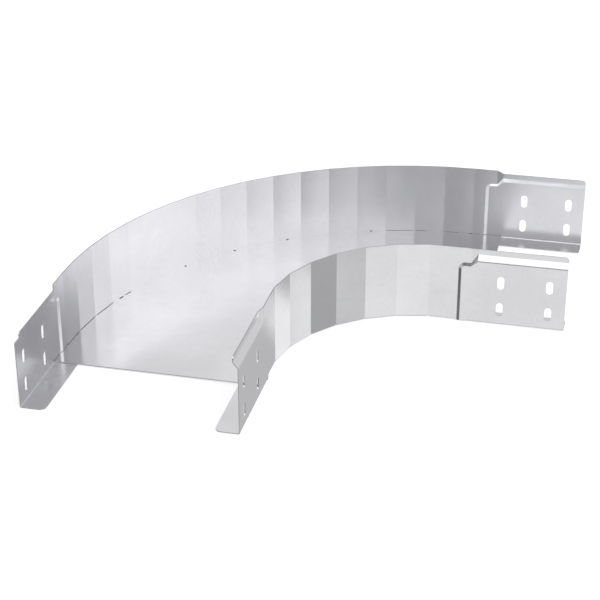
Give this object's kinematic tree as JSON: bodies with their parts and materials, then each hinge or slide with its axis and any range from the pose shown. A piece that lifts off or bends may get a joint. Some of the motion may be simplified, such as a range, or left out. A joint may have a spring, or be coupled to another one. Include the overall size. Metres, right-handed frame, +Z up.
{
  "type": "cable tray bend",
  "caption": "Ninety degree horizontal bend for sheet metal cable tray, with faceted side walls, a flat floor and slotted couplers at both open ends.",
  "frame": {"origin": "on the standing plane, under the middle of the bend's outline seen from above", "axes": "+Z up; one open end looks along +X and the other along -Y, and the bend's own centre is at +X -Y of the origin"},
  "size_m": [0.6844, 0.6844, 0.116],
  "materials": {
    "floor_sheet": "satin galvanised sheet",
    "outer_sheet": "satin galvanised sheet",
    "inner_sheet": "satin galvanised sheet"
  },
  "bodies": {
    "root": {"floor_plate": "floor_sheet", "outer_wall": "outer_sheet", "inner_wall": "inner_sheet"}
  },
  "joints": []
}
